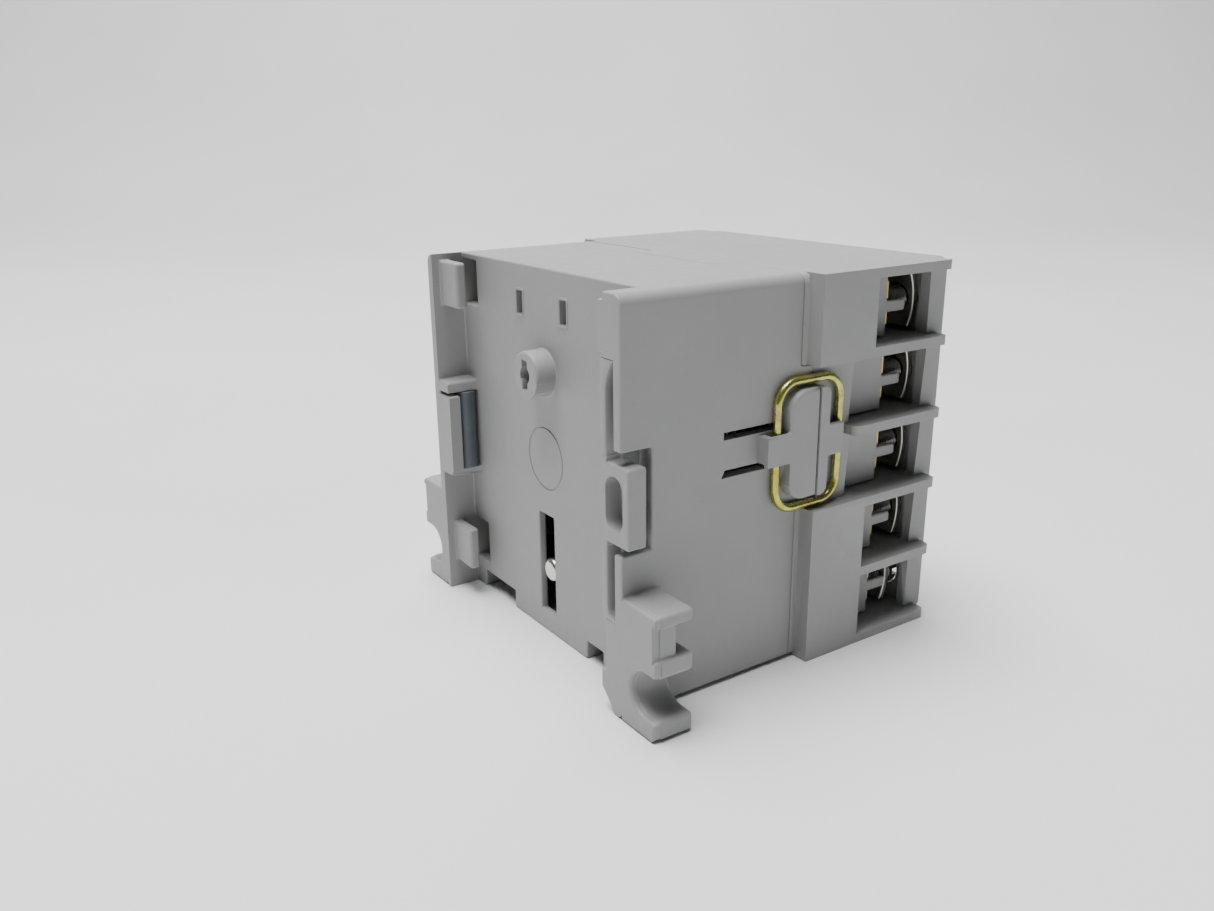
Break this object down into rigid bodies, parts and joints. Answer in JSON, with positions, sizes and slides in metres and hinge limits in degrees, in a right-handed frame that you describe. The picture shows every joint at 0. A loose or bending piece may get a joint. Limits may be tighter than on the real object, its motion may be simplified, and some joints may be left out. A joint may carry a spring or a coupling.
{
  "type": "din rail contactor",
  "caption": "Small rail-mounted contactor with screw terminal bays at both ends, a rear rail foot with latch and open screw lugs, and wire rings clamping its two housings.",
  "frame": {"origin": "middle of the rail seat: on the rear wall, on the rail's centre line and halfway across the width", "axes": "+X from the rail to the front face; +Y along the length, from the latch end to the hook end, so across the rail; +Z across the five bays, so along the rail. The contactor lies on its side (-Z) as in the picture"},
  "size_m": [0.0467, 0.0537, 0.045],
  "materials": {
    "housing_plastic": "satin",
    "latch_plastic": "satin",
    "dark_pad": "satin",
    "cover_plastic": "satin",
    "label_film": "satin",
    "chromate_wire": "gloss",
    "core_steel": "satin",
    "copper": "satin",
    "enamel_wire": "gloss",
    "bobbin_plastic": "satin",
    "carrier_plastic": "satin",
    "contact_brass": "satin",
    "silver_tip": "satin",
    "tinned_brass": "satin",
    "spring_steel": "satin",
    "plated_steel": "satin",
    "buffer_rubber": "matte"
  },
  "bodies": {
    "housing": {"base_housing": "housing_plastic", "front_housing": "housing_plastic", "front_cover": "cover_plastic", "label_plate": "label_film", "retaining_ring_near": "chromate_wire", "retaining_ring_far": "chromate_wire", "fixed_core": "core_steel", "shading_ring_near": "copper", "shading_ring_far": "copper", "core_buffers": "buffer_rubber", "coil_bobbin": "bobbin_plastic", "coil_winding": "enamel_wire", "coil_terminal_near": "tinned_brass", "coil_terminal_far": "tinned_brass", "fixed_tips": "silver_tip", "return_springs": "spring_steel", "fixed_contact_near_1": "contact_brass", "fixed_contact_near_2": "contact_brass", "fixed_contact_near_3": "contact_brass", "fixed_contact_near_4": "contact_brass", "fixed_contact_far_1": "contact_brass", "fixed_contact_far_2": "contact_brass", "fixed_contact_far_3": "contact_brass", "fixed_contact_far_4": "contact_brass"},
    "latch": {"rail_latch": "latch_plastic"},
    "spring_pad": {"rail_spring_pad": "dark_pad"},
    "carrier": {"contact_carrier": "carrier_plastic", "armature": "core_steel", "armature_pin": "plated_steel", "contact_springs": "spring_steel", "moving_tips": "silver_tip", "contact_bridge_1": "copper", "contact_bridge_2": "copper", "contact_bridge_3": "copper", "contact_bridge_4": "copper"},
    "clamp_near_0": {"terminal_clamp_near_0": "plated_steel"},
    "screw_near_0": {"terminal_screw_near_0": "plated_steel"},
    "clamp_near_1": {"terminal_clamp_near_1": "plated_steel"},
    "screw_near_1": {"terminal_screw_near_1": "plated_steel"},
    "clamp_near_2": {"terminal_clamp_near_2": "plated_steel"},
    "screw_near_2": {"terminal_screw_near_2": "plated_steel"},
    "clamp_near_3": {"terminal_clamp_near_3": "plated_steel"},
    "screw_near_3": {"terminal_screw_near_3": "plated_steel"},
    "clamp_near_4": {"terminal_clamp_near_4": "plated_steel"},
    "screw_near_4": {"terminal_screw_near_4": "plated_steel"},
    "clamp_far_0": {"terminal_clamp_far_0": "plated_steel"},
    "screw_far_0": {"terminal_screw_far_0": "plated_steel"},
    "clamp_far_1": {"terminal_clamp_far_1": "plated_steel"},
    "screw_far_1": {"terminal_screw_far_1": "plated_steel"},
    "clamp_far_2": {"terminal_clamp_far_2": "plated_steel"},
    "screw_far_2": {"terminal_screw_far_2": "plated_steel"},
    "clamp_far_3": {"terminal_clamp_far_3": "plated_steel"},
    "screw_far_3": {"terminal_screw_far_3": "plated_steel"},
    "clamp_far_4": {"terminal_clamp_far_4": "plated_steel"},
    "screw_far_4": {"terminal_screw_far_4": "plated_steel"}
  },
  "joints": [
    {"name": "latch_pull", "type": "slide", "parent": "housing", "child": "latch", "axis": [0, -1, 0], "range_m": [0, 0.001], "stiffness_N_per_m": 1500},
    {"name": "pad_press", "type": "slide", "parent": "housing", "child": "spring_pad", "axis": [0, 1, 0], "range_m": [0, 0.001], "stiffness_N_per_m": 1500},
    {"name": "carrier_stroke", "type": "slide", "parent": "housing", "child": "carrier", "axis": [-1, 0, 0], "range_m": [0, 0.003], "stiffness_N_per_m": 300, "springref_m": -0.004, "deforming": ["return_springs"]},
    {"name": "clamp_press_near_0", "type": "slide", "parent": "housing", "child": "clamp_near_0", "axis": [-1, 0, 0], "range_m": [0, 0.00215]},
    {"name": "screw_turn_near_0", "type": "hinge", "parent": "clamp_near_0", "child": "screw_near_0", "pos_m": [0.0389, -0.01595, -0.01756], "axis": [-1, 0, 0], "range_deg": [0, 1548]},
    {"name": "clamp_press_near_1", "type": "slide", "parent": "housing", "child": "clamp_near_1", "axis": [-1, 0, 0], "range_m": [0, 0.0035]},
    {"name": "screw_turn_near_1", "type": "hinge", "parent": "clamp_near_1", "child": "screw_near_1", "pos_m": [0.04025, -0.01595, -0.00878], "axis": [-1, 0, 0], "range_deg": [0, 2520]},
    {"name": "clamp_press_near_2", "type": "slide", "parent": "housing", "child": "clamp_near_2", "axis": [-1, 0, 0], "range_m": [0, 0.0035]},
    {"name": "screw_turn_near_2", "type": "hinge", "parent": "clamp_near_2", "child": "screw_near_2", "pos_m": [0.04025, -0.01595, 0], "axis": [-1, 0, 0], "range_deg": [0, 2520]},
    {"name": "clamp_press_near_3", "type": "slide", "parent": "housing", "child": "clamp_near_3", "axis": [-1, 0, 0], "range_m": [0, 0.0035]},
    {"name": "screw_turn_near_3", "type": "hinge", "parent": "clamp_near_3", "child": "screw_near_3", "pos_m": [0.04025, -0.01595, 0.00878], "axis": [-1, 0, 0], "range_deg": [0, 2520]},
    {"name": "clamp_press_near_4", "type": "slide", "parent": "housing", "child": "clamp_near_4", "axis": [-1, 0, 0], "range_m": [0, 0.0035]},
    {"name": "screw_turn_near_4", "type": "hinge", "parent": "clamp_near_4", "child": "screw_near_4", "pos_m": [0.04025, -0.01595, 0.01756], "axis": [-1, 0, 0], "range_deg": [0, 2520]},
    {"name": "clamp_press_far_0", "type": "slide", "parent": "housing", "child": "clamp_far_0", "axis": [-1, 0, 0], "range_m": [0, 0.00215]},
    {"name": "screw_turn_far_0", "type": "hinge", "parent": "clamp_far_0", "child": "screw_far_0", "pos_m": [0.0389, 0.01695, -0.01756], "axis": [-1, 0, 0], "range_deg": [0, 1548]},
    {"name": "clamp_press_far_1", "type": "slide", "parent": "housing", "child": "clamp_far_1", "axis": [-1, 0, 0], "range_m": [0, 0.0035]},
    {"name": "screw_turn_far_1", "type": "hinge", "parent": "clamp_far_1", "child": "screw_far_1", "pos_m": [0.04025, 0.01695, -0.00878], "axis": [-1, 0, 0], "range_deg": [0, 2520]},
    {"name": "clamp_press_far_2", "type": "slide", "parent": "housing", "child": "clamp_far_2", "axis": [-1, 0, 0], "range_m": [0, 0.0035]},
    {"name": "screw_turn_far_2", "type": "hinge", "parent": "clamp_far_2", "child": "screw_far_2", "pos_m": [0.04025, 0.01695, 0], "axis": [-1, 0, 0], "range_deg": [0, 2520]},
    {"name": "clamp_press_far_3", "type": "slide", "parent": "housing", "child": "clamp_far_3", "axis": [-1, 0, 0], "range_m": [0, 0.0035]},
    {"name": "screw_turn_far_3", "type": "hinge", "parent": "clamp_far_3", "child": "screw_far_3", "pos_m": [0.04025, 0.01695, 0.00878], "axis": [-1, 0, 0], "range_deg": [0, 2520]},
    {"name": "clamp_press_far_4", "type": "slide", "parent": "housing", "child": "clamp_far_4", "axis": [-1, 0, 0], "range_m": [0, 0.0035]},
    {"name": "screw_turn_far_4", "type": "hinge", "parent": "clamp_far_4", "child": "screw_far_4", "pos_m": [0.04025, 0.01695, 0.01756], "axis": [-1, 0, 0], "range_deg": [0, 2520]}
  ],
  "couplings": [
    {"joint": "screw_turn_near_0", "follows": "clamp_press_near_0", "rad_per_m": 12566},
    {"joint": "screw_turn_near_1", "follows": "clamp_press_near_1", "rad_per_m": 12566},
    {"joint": "screw_turn_near_2", "follows": "clamp_press_near_2", "rad_per_m": 12566},
    {"joint": "screw_turn_near_3", "follows": "clamp_press_near_3", "rad_per_m": 12566},
    {"joint": "screw_turn_near_4", "follows": "clamp_press_near_4", "rad_per_m": 12566},
    {"joint": "screw_turn_far_0", "follows": "clamp_press_far_0", "rad_per_m": 12566},
    {"joint": "screw_turn_far_1", "follows": "clamp_press_far_1", "rad_per_m": 12566},
    {"joint": "screw_turn_far_2", "follows": "clamp_press_far_2", "rad_per_m": 12566},
    {"joint": "screw_turn_far_3", "follows": "clamp_press_far_3", "rad_per_m": 12566},
    {"joint": "screw_turn_far_4", "follows": "clamp_press_far_4", "rad_per_m": 12566}
  ]
}
